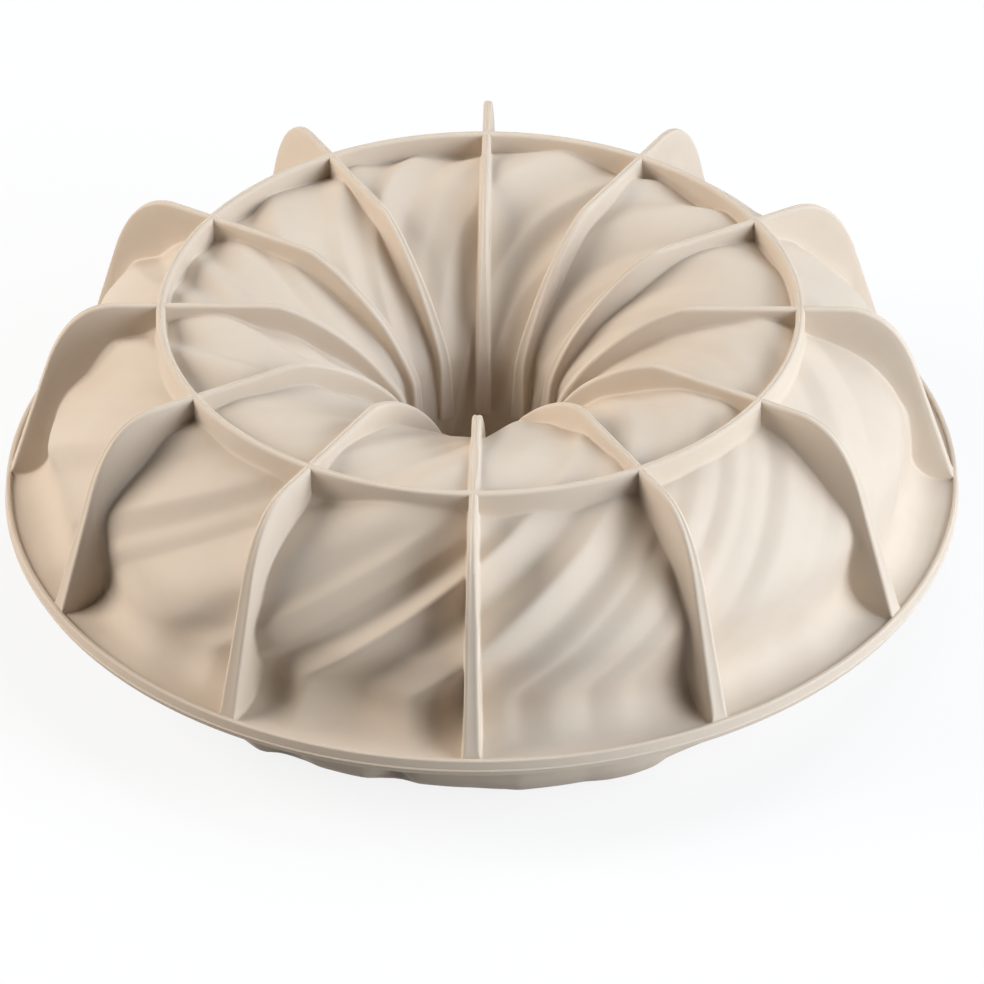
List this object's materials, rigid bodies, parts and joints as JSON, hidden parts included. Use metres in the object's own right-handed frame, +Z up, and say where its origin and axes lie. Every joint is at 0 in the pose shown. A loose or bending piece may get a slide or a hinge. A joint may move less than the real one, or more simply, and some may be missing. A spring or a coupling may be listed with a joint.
{
  "type": "ring cake mould",
  "caption": "Ring-shaped silicone cake mould with swirled, folded walls, a flat beaded rim and a closed centre funnel; a foot ring and radial ribs stiffen it and stand it level.",
  "frame": {"origin": "centre of the plane that the mouth rests on, as pictured with the mouth down", "axes": "+Z up along the mould's axis, from the mouth to the foot ring; -Y is the front of the picture"},
  "size_m": [0.25, 0.25, 0.0769],
  "materials": {
    "silicone": "matte"
  },
  "bodies": {
    "root": {"mouth_lip": "silicone", "lower_wall": "silicone", "side_wall": "silicone", "shoulder_wall": "silicone", "crown_wall": "silicone", "funnel_wall": "silicone", "centre_tube": "silicone", "tube_cap": "silicone", "rim_flange": "silicone", "rim_bead": "silicone", "foot_ring": "silicone", "outer_rib_01": "silicone", "outer_rib_02": "silicone", "outer_rib_03": "silicone", "outer_rib_04": "silicone", "outer_rib_05": "silicone", "outer_rib_06": "silicone", "outer_rib_07": "silicone", "outer_rib_08": "silicone", "outer_rib_09": "silicone", "outer_rib_10": "silicone", "outer_rib_11": "silicone", "outer_rib_12": "silicone", "inner_rib_01": "silicone", "inner_rib_02": "silicone", "inner_rib_03": "silicone", "inner_rib_04": "silicone", "inner_rib_05": "silicone", "inner_rib_06": "silicone", "inner_rib_07": "silicone", "inner_rib_08": "silicone", "inner_rib_09": "silicone", "inner_rib_10": "silicone", "inner_rib_11": "silicone", "inner_rib_12": "silicone"}
  },
  "joints": []
}
